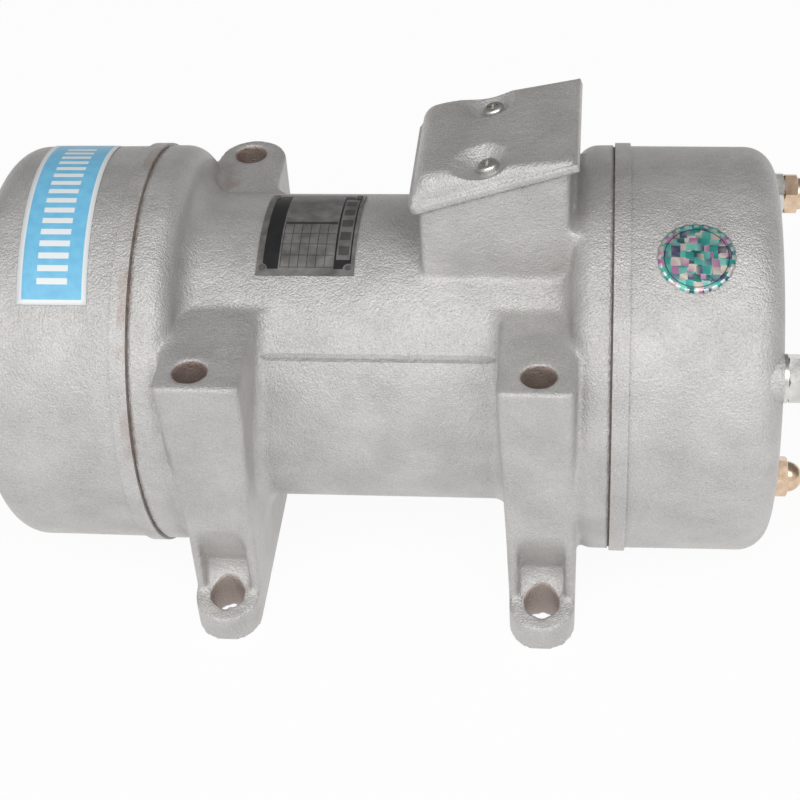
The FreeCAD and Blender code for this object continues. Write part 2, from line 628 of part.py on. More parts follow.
def half_moon(x):
    """One eccentric weight: a half disc below a split hub that a bolt clamps on the shaft."""
    plate = disc(x, x + WEIGHT_THICK, WEIGHT_RADIUS)
    top = AXIS_HEIGHT + WEIGHT_STEP
    plate = plate.cut(block(x - 1, x + WEIGHT_THICK + 1, -WEIGHT_RADIUS - 1, WEIGHT_RADIUS + 1,
                            top, top + WEIGHT_RADIUS))
    hub = disc(x, x + WEIGHT_THICK, WEIGHT_HUB_RADIUS)
    ears_top = AXIS_HEIGHT + WEIGHT_HUB_RADIUS + CLAMP_EAR_RISE
    ears = block(x, x + WEIGHT_THICK, -CLAMP_EAR_HALF, CLAMP_EAR_HALF, AXIS_HEIGHT, ears_top)
    solid = plate.fuse([hub, rounded(ears, CLAMP_EAR_ROUND, lambda edge: edge.BoundBox.ZMin > ears_top - 0.1
                                     and edge.BoundBox.XLength > WEIGHT_THICK / 2)])
    slit = block(x - 1, x + WEIGHT_THICK + 1, -CLAMP_SLIT / 2, CLAMP_SLIT / 2, AXIS_HEIGHT, ears_top + 1)
    bore = disc(x - 1, x + WEIGHT_THICK + 1, SHAFT_WEIGHT_RADIUS + SLIP)
    bolt_hole = Part.makeCylinder(CLAMP_BOLT_RADIUS + SCREW_GAP, 4 * CLAMP_EAR_HALF,
                                  V(x + WEIGHT_THICK / 2, -2 * CLAMP_EAR_HALF, clamp_height()), Y)
    return solid.cut([slit, bore, bolt_hole, key_blank(SLIP)]).removeSplitter()


def clamp_height():
    return AXIS_HEIGHT + WEIGHT_HUB_RADIUS + CLAMP_EAR_RISE - CLAMP_BOLT_FLATS / 2 - 0.5


def clamp_bolt(x):
    start = V(x + WEIGHT_THICK / 2, -CLAMP_EAR_HALF, clamp_height())
    length = 2 * CLAMP_EAR_HALF + CLAMP_NUT_HEIGHT + CLAMP_BOLT_END
    stem = Part.makeCylinder(CLAMP_BOLT_RADIUS, length, start, Y)
    head = hexagon(CLAMP_BOLT_FLATS, CLAMP_HEAD_HEIGHT, start - Y * CLAMP_HEAD_HEIGHT, Y)
    return stem.fuse(head)


def clamp_nut(x):
    base = V(x + WEIGHT_THICK / 2, CLAMP_EAR_HALF, clamp_height())
    nut = hexagon(CLAMP_BOLT_FLATS, CLAMP_NUT_HEIGHT, base, Y)
    return nut.cut(Part.makeCylinder(CLAMP_BOLT_RADIUS + SLIP, CLAMP_NUT_HEIGHT + 2, base - Y, Y))


def second_weight_x():
    return FIRST_WEIGHT_X + WEIGHT_THICK + WEIGHT_GAP


# ======== bearings ========
def bearing_tracks():
    """Outer and inner ring with round grooves for the balls."""
    x0, x1 = BEARING_FACE_X - BEARING_WIDTH, BEARING_FACE_X
    middle = (x0 + x1) / 2
    groove = Part.makeTorus(PITCH_RADIUS, BALL_RADIUS + BALL_GAP, V(middle, 0, AXIS_HEIGHT), X)
    outer = ring(x0, x1, PITCH_RADIUS + 0.62 * BALL_RADIUS, BEARING_OUTER - SLIP).cut(groove)
    inner = ring(x0, x1, SHAFT_SEAT_RADIUS + SLIP, PITCH_RADIUS - 0.62 * BALL_RADIUS).cut(groove)
    return outer, inner


def bearing_balls():
    middle = BEARING_FACE_X - BEARING_WIDTH / 2
    ball = Part.makeSphere(BALL_RADIUS, V(middle, -PITCH_RADIUS, AXIS_HEIGHT))
    return [round_axis(ball, 360 * step / BALL_COUNT) for step in range(BALL_COUNT)]


def bearing_cage():
    middle = BEARING_FACE_X - BEARING_WIDTH / 2
    half = BALL_RADIUS + CAGE_EDGE
    cage = ring(middle - half, middle + half, PITCH_RADIUS - CAGE_HALF_WALL, PITCH_RADIUS + CAGE_HALF_WALL)
    pocket = Part.makeSphere(BALL_RADIUS + 2 * BALL_GAP, V(middle, -PITCH_RADIUS, AXIS_HEIGHT))
    pockets = [round_axis(pocket, 360 * step / BALL_COUNT) for step in range(BALL_COUNT)]
    return cage.cut(pockets)


def bearing_shield():
    """Disc in the casting's recess with a hub that holds the bearing and a lip behind it."""
    seat_x = SEAM_X - REGISTER_DEPTH
    hub_x = BEARING_FACE_X - BEARING_WIDTH - SHIELD_LIP
    outline = [(hub_x, SHAFT_SHOULDER_RADIUS + RUN_GAP), (hub_x, SHIELD_HUB_RADIUS),
               (seat_x, BORE_RADIUS - 6), (seat_x, REGISTER_RADIUS - SLIP), (SEAM_X, REGISTER_RADIUS - SLIP),
               (SEAM_X, SHIELD_HUB_RADIUS + 4), (BEARING_FACE_X, SHIELD_HUB_RADIUS),
               (BEARING_FACE_X, BEARING_OUTER), (hub_x + SHIELD_LIP, BEARING_OUTER),
               (hub_x + SHIELD_LIP, SHAFT_SHOULDER_RADIUS + RUN_GAP)]
    solid = turned(outline)
    middle = (BORE_RADIUS + REGISTER_RADIUS) / 2
    through = disc(seat_x - 1, SEAM_X + 1, SMALL_SCREW_RADIUS + SCREW_GAP, -middle)
    sink = disc(SEAM_X - SMALL_HEAD_HEIGHT, SEAM_X + 1, SMALL_HEAD_RADIUS + SCREW_GAP, -middle)
    cuts = [round_axis(through.fuse(sink), 360 * step / SHIELD_SCREWS + 60)
            for step in range(SHIELD_SCREWS)]
    cover_screw = disc(BEARING_FACE_X - 9, BEARING_FACE_X + 1, SMALL_SCREW_RADIUS + SCREW_GAP,
                       -cover_screw_circle())
    cuts += [round_axis(cover_screw, 360 * step / COVER_SCREWS) for step in range(COVER_SCREWS)]
    return solid.cut(cuts)


def cover_screw_circle():
    return (BEARING_OUTER + BEARING_COVER_RADIUS) / 2


def cap_screw(seat, length, radius_from_axis):
    """A socket-head screw along X: its head rests on the seat, its stem points inwards."""
    stem = disc(seat - length, seat, SMALL_SCREW_RADIUS, -radius_from_axis)
    head = disc(seat, seat + SMALL_HEAD_HEIGHT, SMALL_HEAD_RADIUS, -radius_from_axis)
    socket = hexagon(4.0, 3.0, V(seat + SMALL_HEAD_HEIGHT - 2.5, -radius_from_axis, AXIS_HEIGHT), X)
    return stem.fuse(head).cut(socket)


def shield_screws():
    seat = SEAM_X - SMALL_HEAD_HEIGHT
    screw = cap_screw(seat, REGISTER_DEPTH - SMALL_HEAD_HEIGHT + 10, (BORE_RADIUS + REGISTER_RADIUS) / 2)
    return [round_axis(screw, 360 * step / SHIELD_SCREWS + 60) for step in range(SHIELD_SCREWS)]


def bearing_cover():
    start, end = BEARING_FACE_X, BEARING_FACE_X + BEARING_COVER_THICK
    solid = ring(start, end, seal_radius(), BEARING_COVER_RADIUS)
    hole = disc(start - 1, end + 1, SMALL_SCREW_RADIUS + SCREW_GAP, -cover_screw_circle())
    return solid.cut([round_axis(hole, 360 * step / COVER_SCREWS) for step in range(COVER_SCREWS)])


def seal_radius():
    return SHAFT_SEAT_RADIUS + SLEEVE_WALL + SEAL_WALL


def shaft_seal():
    return ring(BEARING_FACE_X + RUN_GAP, BEARING_FACE_X + BEARING_COVER_THICK,
                SHAFT_SEAT_RADIUS + SLEEVE_WALL + RUN_GAP, seal_radius() - SLIP)


def spacer_sleeve():
    return ring(BEARING_FACE_X, FIRST_WEIGHT_X, SHAFT_SEAT_RADIUS + SLIP, SHAFT_SEAT_RADIUS + SLEEVE_WALL)


def bearing_cover_screws():
    screw = cap_screw(BEARING_FACE_X + BEARING_COVER_THICK, BEARING_COVER_THICK + 8, cover_screw_circle())
    return [round_axis(screw, 360 * step / COVER_SCREWS) for step in range(COVER_SCREWS)]


# ======== terminal box fittings ========
def terminal_lid():
    """Cast lid: a thin rim and a crown that is deep on the left and shallow on the right."""
    length = seat_length() + 2 * LID_OVERHANG + LID_NOSE
    half = BOX_HALF_DEPTH + LID_OVERHANG
    low = LID_GASKET
    rim = Part.makeBox(length, 2 * half, LID_RIM, V(-LID_OVERHANG, -half, low))
    rim = rounded(rim, LID_CORNER, lambda edge: edge.BoundBox.ZLength > LID_RIM / 2
                  and edge.BoundBox.XMax < 0)
    left, right = LID_INSET - LID_OVERHANG, length - LID_OVERHANG - LID_INSET
    crown = [(left, low + LID_RIM), (left + 2 * LID_INSET, low + LID_CROWN_LEFT),
             (right, low + LID_RIM + LID_CROWN_RIGHT), (right, low + LID_RIM)]
    top = prism(crown, V(0, 2 * (half - LID_INSET), 0), lambda x, z: V(x, LID_INSET - half, z))

    def long_top_edge(edge):
        box = edge.BoundBox
        return box.XLength > length / 2 and box.ZMax > low + LID_CROWN_LEFT - 0.1

    edges = [edge for edge in top.Edges if long_top_edge(edge)]
    top = top.makeFillet(LID_CROWN_LEFT - LID_RIM - 0.6, LID_CROWN_RIGHT - 0.6, edges)
    solid = rim.fuse(top)
    for spot in lid_screw_places():
        solid = solid.cut(Part.makeCylinder(LID_SCREW_RADIUS + SCREW_GAP, 3 * LID_CROWN_LEFT, spot - Z, Z))
        dimple = Part.makeCylinder(LID_SCREW_HEAD + LID_INSET, 2 * LID_CROWN_LEFT,
                                   spot + Z * (low + LID_RIM + LID_SCREW_SEAT), Z)
        solid = solid.cut(dimple)
    hollow = Part.makeBox(seat_length() - 2 * BOX_WALL, 2 * (BOX_HALF_DEPTH - BOX_WALL), LID_RIM / 2,
                          V(BOX_WALL, BOX_WALL - BOX_HALF_DEPTH, low))
    hollow = hollow.cut([Part.makeCylinder(LID_SCREW_RADIUS + PILLAR_WALL, 2 * LID_RIM, spot, Z)
                         for spot in lid_screw_places()])
    return placed(solid.cut(hollow), lid_place())


def lid_gasket():
    sheet = Part.makeBox(seat_length(), 2 * BOX_HALF_DEPTH, LID_GASKET, V(0, -BOX_HALF_DEPTH, 0))
    inner = Part.makeBox(seat_length() - 2 * BOX_WALL, 2 * (BOX_HALF_DEPTH - BOX_WALL), LID_GASKET + 2,
                         V(BOX_WALL, BOX_WALL - BOX_HALF_DEPTH, -1))
    tabs = [Part.makeCylinder(LID_SCREW_RADIUS + PILLAR_WALL, LID_GASKET + 2, spot - Z, Z)
            for spot in lid_screw_places()]
    sheet = sheet.cut(inner.cut(tabs))
    holes = [Part.makeCylinder(LID_SCREW_RADIUS + SCREW_GAP, LID_GASKET + 2, spot - Z, Z)
             for spot in lid_screw_places()]
    return placed(sheet.cut(holes), lid_place())


def lid_screws():
    """Two cross-recess pan-head screws, square to the lid."""
    screws = []
    seat = LID_GASKET + LID_RIM + LID_SCREW_SEAT
    long, thin = LID_SCREW_HEAD, LID_SCREW_HEAD / 4
    for spot in lid_screw_places():
        stem = Part.makeCylinder(LID_SCREW_RADIUS, seat + LID_SCREW_GRIP, spot - Z * LID_SCREW_GRIP, Z)
        head = Part.makeCylinder(LID_SCREW_HEAD, LID_HEAD_HEIGHT, spot + Z * seat, Z)
        middle = seat + LID_HEAD_HEIGHT / 2
        head = rounded(head, 0.55 * LID_HEAD_HEIGHT, lambda edge: edge.BoundBox.ZMin > middle)
        cross = [Part.makeBox(a, b, LID_HEAD_HEIGHT, spot + V(-a / 2, -b / 2, middle))
                 for a, b in ((long, thin), (thin, long))]
        screws.append(placed(stem.fuse(head).cut(cross), lid_place()))
    return screws


def board_middle():
    return (BOX_LEFT + BOX_RIGHT) / 2 - BOARD_SHIFT


def terminal_spots():
    """Where the three terminals stand, on the board's top."""
    top = BOX_FLOOR + BOARD_RAISE + BOARD_THICK
    return [V(board_middle() + step * TERMINAL_PITCH, 0, top) for step in (-1, 0, 1)]


def terminal_board():
    """Moulded board on two feet that stand on the box floor, with a barrier between terminals."""
    middle, half = board_middle(), BOARD_WIDTH / 2
    low = BOX_FLOOR + BOARD_RAISE
    board = block(middle - BOARD_LENGTH / 2, middle + BOARD_LENGTH / 2, -half, half, low, low + BOARD_THICK)
    feet = [block(middle - BOARD_LENGTH / 2, middle + BOARD_LENGTH / 2, y, y + BOARD_FOOT_WIDTH,
                  BOX_FLOOR, low) for y in (-half, half - BOARD_FOOT_WIDTH)]
    walls = []
    for spot in terminal_spots()[:2]:
        wall_x = spot.x + (TERMINAL_PITCH - BARRIER_THICK) / 2
        walls.append(block(wall_x, wall_x + BARRIER_THICK, -half, half, spot.z, spot.z + BARRIER_HEIGHT))
    holes = [Part.makeCylinder(TERMINAL_RADIUS + SLIP, 2 * BOARD_THICK, spot - Z * 1.5 * BOARD_THICK, Z)
             for spot in terminal_spots()]
    return board.fuse(feet + walls).cut(holes).removeSplitter()


def terminal_studs():
    studs = []
    head_height = BOARD_RAISE - 4 * SCREW_GAP
    for spot in terminal_spots():
        base = spot - Z * BOARD_THICK
        stem = Part.makeCylinder(TERMINAL_RADIUS, BOARD_THICK + TERMINAL_LENGTH, base, Z)
        studs.append(stem.fuse(hexagon(TERMINAL_FLATS - 1, head_height, base - Z * head_height, Z)))
    return studs


def terminal_nuts():
    nuts = []
    for spot in terminal_spots():
        base = spot + Z * LUG_THICK
        nut = hexagon(TERMINAL_FLATS, TERMINAL_NUT_HEIGHT, base, Z)
        nuts.append(nut.cut(Part.makeCylinder(TERMINAL_RADIUS + SLIP, 2 * TERMINAL_NUT_HEIGHT, base - Z, Z)))
    return nuts


def terminal_lugs():
    """A ring tongue under each terminal nut; its tail points to the front and holds the lead."""
    lugs = []
    for spot in terminal_spots():
        ring_part = Part.makeCylinder(LUG_RADIUS, LUG_THICK, spot, Z)
        tail = block(spot.x - LUG_WIDTH / 2, spot.x + LUG_WIDTH / 2, -BOARD_WIDTH / 2, 0,
                     spot.z, spot.z + LUG_THICK)
        hole = Part.makeCylinder(TERMINAL_RADIUS + SLIP, 3 * LUG_THICK, spot - Z, Z)
        lugs.append(ring_part.fuse(tail).cut(hole).removeSplitter())
    return lugs


def wire_along(points):
    """A round wire along points joined at right angles, with a bend at each corner."""
    edges, start = [], points[0]
    for before, corner, after in zip(points, points[1:], points[2:]):
        back, on = (before - corner).normalize() * LEAD_BEND, (after - corner).normalize() * LEAD_BEND
        edges.append(Part.makeLine(start, corner + back))
        start = corner + on
        edges.append(Part.Arc(corner + back, corner + (back + on) * (1 - math.sqrt(0.5)), start).toShape())
    edges.append(Part.makeLine(start, points[-1]))
    section = Part.Wire(Part.makeCircle(LEAD_RADIUS, points[0], points[1] - points[0]))
    return Part.Wire(edges).makePipeShell([section], True, False)


def motor_leads():
    """Three insulated wires from the winding up through the lead hole and along the board."""
    leads = []
    side = -BOARD_WIDTH / 2 - LEAD_RADIUS - SCREW_GAP
    winding_x = STACK_HALF + WINDING_LENGTH
    winding_z = AXIS_HEIGHT + BORE_RADIUS - WINDING_EDGE - WINDING_ROUND - LEAD_RADIUS
    for lane, spot in enumerate(terminal_spots()):
        low = spot.z + LUG_THICK + LEAD_RADIUS
        high = low + (2 - lane) * LEAD_LANE
        y = (1 - lane) * LEAD_LANE
        path = [V(winding_x, y, winding_z), V(LEAD_HOLE_X, y, winding_z), V(LEAD_HOLE_X, y, high),
                V(LEAD_HOLE_X, side, high), V(spot.x, side, high)]
        if high > low:
            path.append(V(spot.x, side, low))
        path.append(V(spot.x, LUG_RADIUS - BOARD_WIDTH / 2, low))
        leads.append(wire_along(path))
    return leads


def earth_screw():
    seat = V(EARTH_X, EARTH_Y, BOX_FLOOR)
    stem = Part.makeCylinder(EARTH_RADIUS, EARTH_LENGTH, seat - Z * EARTH_LENGTH, Z)
    head = Part.makeCylinder(EARTH_HEAD, EARTH_HEAD_HEIGHT, seat, Z)
    half_slot = EARTH_HEAD / 6
    slot = block(EARTH_X - EARTH_HEAD, EARTH_X + EARTH_HEAD, EARTH_Y - half_slot, EARTH_Y + half_slot,
                 BOX_FLOOR + EARTH_HEAD_HEIGHT / 2, BOX_FLOOR + 2 * EARTH_HEAD_HEIGHT)
    return stem.fuse(head).cut(slot)


def gland_at(y):
    return V(GLAND_X, y, GLAND_HEIGHT)


def gland_body():
    """Hexagon with a thread into the box wall and a thread for the dome nut."""
    face, tail = BOX_HALF_DEPTH, 2 * BOX_WALL
    inside = Part.makeCylinder(GLAND_THREAD_RADIUS, tail, gland_at(face - tail), Y)
    hexa = hexagon(GLAND_FLATS, GLAND_HEX, gland_at(face), Y)
    nose = Part.makeCylinder(GLAND_THREAD_RADIUS, GLAND_NOSE, gland_at(face + GLAND_HEX), Y)
    bore = Part.makeCylinder(GLAND_BORE_RADIUS, 2 * face, gland_at(face - 2 * tail), Y)
    return inside.fuse([hexa, nose]).cut(bore)


def gland_nut():
    start = BOX_HALF_DEPTH + GLAND_HEX
    radius = GLAND_FLATS / 2 - 1
    body = hexagon(2 * radius, GLAND_NUT_LENGTH - GLAND_DOME, gland_at(start), Y)
    dome = Part.makeCone(radius, GLAND_BORE_RADIUS + GLAND_MOUTH_WALL / 2, GLAND_DOME,
                         gland_at(start + GLAND_NUT_LENGTH - GLAND_DOME), Y)
    thread = Part.makeCylinder(GLAND_THREAD_RADIUS + SCREW_GAP, GLAND_NUT_LENGTH - GLAND_MOUTH_WALL,
                               gland_at(start), Y)
    mouth = Part.makeCylinder(CABLE_RADIUS + 2 * RUN_GAP, 2 * GLAND_NUT_LENGTH, gland_at(start), Y)
    return body.fuse(dome).cut([thread, mouth])


def gland_seal():
    start = BOX_HALF_DEPTH + GLAND_HEX + GLAND_NOSE
    end = BOX_HALF_DEPTH + GLAND_HEX + GLAND_NUT_LENGTH - GLAND_MOUTH_WALL
    outer = Part.makeCylinder(GLAND_THREAD_RADIUS, end - start, gland_at(start), Y)
    return outer.cut(Part.makeCylinder(CABLE_RADIUS, 4 * GLAND_NOSE, gland_at(start - GLAND_NOSE), Y))


# ======== rating plate ========
def rating_plate():
    inner, outer = BARREL_RADIUS + SCREW_GAP, BARREL_RADIUS + PLATE_THICK
    outline = [(PLATE_LEFT, inner), (PLATE_LEFT, outer), (PLATE_RIGHT, outer), (PLATE_RIGHT, inner)]
    plate = turned(outline, -PLATE_LOW_ANGLE, -(PLATE_HIGH_ANGLE - PLATE_LOW_ANGLE))
    return plate.cut([rivet_stem(angle, x, SLIP) for angle, x in rivet_places()])


def rivet_places():
    return [(angle, x) for angle in (PLATE_LOW_ANGLE + RIVET_ANGLE, PLATE_HIGH_ANGLE - RIVET_ANGLE)
            for x in (PLATE_LEFT + RIVET_EDGE, PLATE_RIGHT - RIVET_EDGE)]


def rivet_stem(angle, x, gap=0.0):
    turn = math.radians(angle)
    out = V(0, -math.cos(turn), math.sin(turn))
    base = V(x, 0, AXIS_HEIGHT) + out * BARREL_RADIUS
    return Part.makeCylinder(RIVET_RADIUS / 2 + gap, PLATE_THICK, base, out)


def plate_rivets():
    rivets = []
    for angle, x in rivet_places():
        turn = math.radians(angle)
        out = V(0, -math.cos(turn), math.sin(turn))
        base = V(x, 0, AXIS_HEIGHT) + out * (BARREL_RADIUS + PLATE_THICK)
        rivets.append(rivet_stem(angle, x).fuse(Part.makeCylinder(RIVET_RADIUS, RIVET_HEAD, base, out)))
    return rivets


# ======== output ========
def save(name, shape):
    shape.exportStep("parts/" + name + ".step")


os.makedirs("parts", exist_ok=True)
save("housing", housing())
cover = end_cover()
save("end_cover_left", other_end(cover))
save("end_cover_right", cover)
gasket = cover_gasket()
save("cover_gasket_left", other_end(gasket))
save("cover_gasket_right", gasket)
stack = stud_stack()
for piece, node in (("stud", "cover_studs"), ("washer", "stud_washers"), ("nut", "stud_nuts"),
                    ("cap_nut", "stud_cap_nuts")):
    save(node, group([solid for right in stack[piece] for solid in (other_end(right), right)]))
shield = bearing_shield()
save("bearing_shield_left", other_end(shield))
save("bearing_shield_right", shield)
save("shield_screws", group([solid for right in shield_screws() for solid in (other_end(right), right)]))
save("bearing_covers", both_ends(bearing_cover()))
save("bearing_cover_screws",
     group([solid for right in bearing_cover_screws() for solid in (other_end(right), right)]))
save("shaft_seals", both_ends(shaft_seal()))
outer_ring, inner_ring = bearing_tracks()
save("bearing_outer_rings", both_ends(outer_ring))
save("bearing_inner_rings", both_ends(inner_ring))
save("bearing_balls", group([solid for right in bearing_balls() for solid in (other_end(right), right)]))
save("bearing_cages", both_ends(bearing_cage()))
save("stator_core", stator_core())
save("stator_windings", both_ends(stator_winding()))
save("shaft", shaft())
save("rotor_core", rotor_core())
save("rotor_end_rings", both_ends(rotor_end_ring()))
save("spacer_sleeves", both_ends(spacer_sleeve()))
key = key_blank(0)
save("weight_keys", both_ends(key))
inner_weight, outer_weight = half_moon(FIRST_WEIGHT_X), half_moon(second_weight_x())
save("inner_weight_left", other_end(inner_weight))
save("inner_weight_right", inner_weight)
save("outer_weight_left", other_end(outer_weight))
save("outer_weight_right", outer_weight)
places = (FIRST_WEIGHT_X, second_weight_x())
save("clamp_bolts", group([solid for x in places for solid in (other_end(clamp_bolt(x)), clamp_bolt(x))]))
save("clamp_nuts", group([solid for x in places for solid in (other_end(clamp_nut(x)), clamp_nut(x))]))
weights_end = second_weight_x() + WEIGHT_THICK
save("shaft_end_washers", both_ends(ring(weights_end, weights_end + END_WASHER_THICK,
                                         SHAFT_THREAD_RADIUS + SLIP, END_WASHER_RADIUS)))
end_nut = hexagon(END_NUT_FLATS, END_NUT_HEIGHT, V(weights_end + END_WASHER_THICK, 0, AXIS_HEIGHT), X)
end_nut = end_nut.cut(disc(weights_end, weights_end + 20, SHAFT_THREAD_RADIUS + SLIP))
save("shaft_end_nuts", both_ends(end_nut))
save("terminal_lid", terminal_lid())
save("lid_gasket", lid_gasket())
save("lid_screws", group(lid_screws()))
save("terminal_board", terminal_board())
save("terminal_studs", group(terminal_studs()))
save("terminal_lugs", group(terminal_lugs()))
save("motor_leads", group(motor_leads()))
save("earth_screw", earth_screw())
save("terminal_nuts", group(terminal_nuts()))
save("gland_body", gland_body())
save("gland_nut", gland_nut())
save("gland_seal", gland_seal())
save("rating_plate", rating_plate())
save("plate_rivets", group(plate_rivets()))
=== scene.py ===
"""Looks of an external vibration motor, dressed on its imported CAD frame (metres, Z up)."""
import bpy
import bmesh
import math
from mathutils import Matrix, Vector


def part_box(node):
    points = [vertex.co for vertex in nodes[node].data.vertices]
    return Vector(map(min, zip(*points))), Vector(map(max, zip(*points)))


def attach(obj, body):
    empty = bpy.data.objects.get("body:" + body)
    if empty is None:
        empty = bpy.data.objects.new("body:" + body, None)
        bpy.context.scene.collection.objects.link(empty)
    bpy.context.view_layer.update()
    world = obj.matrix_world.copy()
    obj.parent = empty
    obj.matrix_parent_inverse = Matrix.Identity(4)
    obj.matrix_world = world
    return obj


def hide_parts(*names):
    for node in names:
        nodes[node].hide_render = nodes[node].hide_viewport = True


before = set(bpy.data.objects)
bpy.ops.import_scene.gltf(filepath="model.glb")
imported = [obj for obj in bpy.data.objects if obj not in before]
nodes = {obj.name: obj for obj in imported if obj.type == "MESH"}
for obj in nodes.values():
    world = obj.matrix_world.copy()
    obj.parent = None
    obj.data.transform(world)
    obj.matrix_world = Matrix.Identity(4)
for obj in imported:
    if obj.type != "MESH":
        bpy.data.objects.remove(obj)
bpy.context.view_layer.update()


# ---- motor casting ----
# One grey-iron sand casting: barrel, two end flanges, four legs with feet, four ledges and the
# terminal box. It is sprayed with hammered silver paint, which has worn to rust round its holes.
class Signal:
    """A socket's value in a shader tree. Arithmetic on it adds Math nodes to the tree."""

    def __init__(self, tree, socket):
        self.tree, self.socket = tree, socket

    def node(self, kind, output=0, settings=(), **sockets):
        """Adds a node with its settings, then its sockets' values or links; _0 means socket 0."""
        made = self.tree.nodes.new(kind)
        for name, value in dict(settings).items():
            setattr(made, name, value)
        for name, value in sockets.items():
            name = name.lstrip("_").replace("_", " ")
            slot = made.inputs[int(name) if name.isdigit() else name]
            if isinstance(value, Signal):
                self.tree.links.new(value.socket, slot)
            else:
                slot.default_value = value
        return Signal(self.tree, made.outputs[output])

    def math(self, operation, *others, clamp=False):
        settings = {"operation": operation, "use_clamp": clamp}
        sockets = {"_%d" % i: value for i, value in enumerate((self,) + others)}
        return self.node("ShaderNodeMath", settings=settings, **sockets)

    def ramp(self, *stops):
        """Colours from this value, by stops of position and colour."""
        made = self.node("ShaderNodeValToRGB", _0=self)
        elements = made.socket.node.color_ramp.elements
        elements[0].position, elements[1].position = stops[0][0], stops[-1][0]
        elements[0].color, elements[1].color = stops[0][1] + (1,), stops[-1][1] + (1,)
        for position, colour in stops[1:-1]:
            elements.new(position).color = colour + (1,)
        return made

    def mix(self, first, second):
        """The first colour where this value is 0, the second where it is 1."""
        return self.node("ShaderNodeMix", 2, {"data_type": "RGBA"}, _0=self, _6=first, _7=second)

    def xyz(self):
        return [self.node("ShaderNodeSeparateXYZ", i, _0=self) for i in range(3)]

    def between(self, start, end):
        return (self > start) * (self < end)

    def __abs__(self):
        return self.math("ABSOLUTE")

    def __add__(self, other):
        return self.math("ADD", other)

    def __sub__(self, other):
        return self.math("SUBTRACT", other)

    def __rsub__(self, other):
        return (self * -1.0) + other

    def __mul__(self, other):
        return self.math("MULTIPLY", other)

    def __truediv__(self, other):
        return self.math("DIVIDE", other)

    def __pow__(self, other):
        return self.math("POWER", other)

    def __gt__(self, other):
        return self.math("GREATER_THAN", other)

    def __lt__(self, other):
        return self.math("LESS_THAN", other)

    __radd__, __rmul__ = __add__, __mul__


def surface(name, metallic=0.0):
    """A new material, its Principled node's sockets and a place to start, in object coordinates."""
    made = bpy.data.materials.new(name)
    made.use_nodes = True
    tree = made.node_tree
    sockets = tree.nodes["Principled BSDF"].inputs
    sockets["Metallic"].default_value = metallic
    return made, sockets, Signal(tree, tree.nodes.new("ShaderNodeTexCoord").outputs["Object"])


def join(signal, slot):
    signal.tree.links.new(signal.socket, slot)


def noise(place, scale, detail=2.0):
    return place.node("ShaderNodeTexNoise", Vector=place, Scale=scale, Detail=detail)


def near(x, y, place_x, place_y, reach):
    """1 within a distance of the four upright lines at plus or minus x and y."""
    return ((abs(x) - place_x) ** 2.0 + (abs(y) - place_y) ** 2.0) < reach ** 2


HOLE_X, FOOT_HOLE_Y, LEDGE_HOLE_Y, LEDGE_SHIFT_Y = 0.070, 0.084, 0.080, 0.004
RUST_REACH, FOOT_HOLE_SPAN, LEDGE_HOLE_SPAN = 0.0079, (0.001, 0.020), (0.118, 0.1438)
CAST_LINE_Z, CAST_LINE_REACH, BARREL_END_X, BARREL_FRONT_Y = 0.1297, 0.0013, 0.080, -0.0575
LEFT_SEAM_X, SEAM_REACH, SEAM_LOW_Z = -0.0995, 0.0030, 0.1
EAR_X, EAR_REACH, EAR_FRONT_Y, EAR_SPAN = -0.081, 0.010, 0.045, (0.130, 0.166)
hammer, sockets, place = surface("hammer_paint", metallic=0.55)
x, y, z = place.xyz()
pebble = place.node("ShaderNodeTexVoronoi", 0, {"feature": "SMOOTH_F1"}, Vector=place, Scale=1050.0,
                    Smoothness=0.7)
grain = noise(place, 1900.0, 3.0)
swell = noise(place, 260.0, 5.0)
on_barrel = (abs(x) < BARREL_END_X) * y.between(BARREL_FRONT_Y, 0.0)
groove = (1.0 - abs(z - CAST_LINE_Z) / CAST_LINE_REACH).math("MAXIMUM", 0.0) * on_barrel
relief = pebble * -0.6 + grain * 0.8 + swell * 0.9 - groove * 2.5
join(relief.node("ShaderNodeBump", Strength=0.8, Distance=0.0006, Height=relief), sockets["Normal"])
tone = noise(place, 2100.0, 2.0) * 0.5 + noise(place, 45.0, 4.0) * 0.35 + grain * 0.15
paint = tone.ramp((0.32, (0.40, 0.39, 0.38)), (0.68, (0.72, 0.705, 0.69)))
in_ledge = near(x, y + LEDGE_SHIFT_Y, HOLE_X, LEDGE_HOLE_Y, RUST_REACH) * z.between(*LEDGE_HOLE_SPAN)
in_foot = near(x, y, HOLE_X, FOOT_HOLE_Y, RUST_REACH) * z.between(*FOOT_HOLE_SPAN)
seam = (abs(x - LEFT_SEAM_X) < SEAM_REACH) * (z > SEAM_LOW_Z)
ear_root = (abs(x - EAR_X) < EAR_REACH) * (y > EAR_FRONT_Y) * z.between(*EAR_SPAN)
worn = (noise(place, 75.0, 5.0) - 0.46).math("MULTIPLY", 6.0, clamp=True)
rust = (in_ledge * 0.85 + in_foot * 0.7 + (seam * 0.45 + ear_root * 0.6) * worn).math("MINIMUM", 1.0)
join(rust.mix(paint, (0.42, 0.32, 0.28, 1)), sockets["Base Color"])
join(tone * 0.25 + 0.30, sockets["Roughness"])


def added(name, data):
    """A new object in the scene, made from its data."""
    made = bpy.data.objects.new(name, data)
    bpy.context.collection.objects.link(made)
    return made


def applied(piece):
    """Applies a painted casting's modifiers to its mesh, which then shows smooth hammered paint."""
    graph = bpy.context.evaluated_depsgraph_get()
    piece.data = bpy.data.meshes.new_from_object(piece.evaluated_get(graph))
    piece.modifiers.clear()
    piece.data.materials.clear()
    piece.data.materials.append(hammer)
    piece.data.shade_smooth()


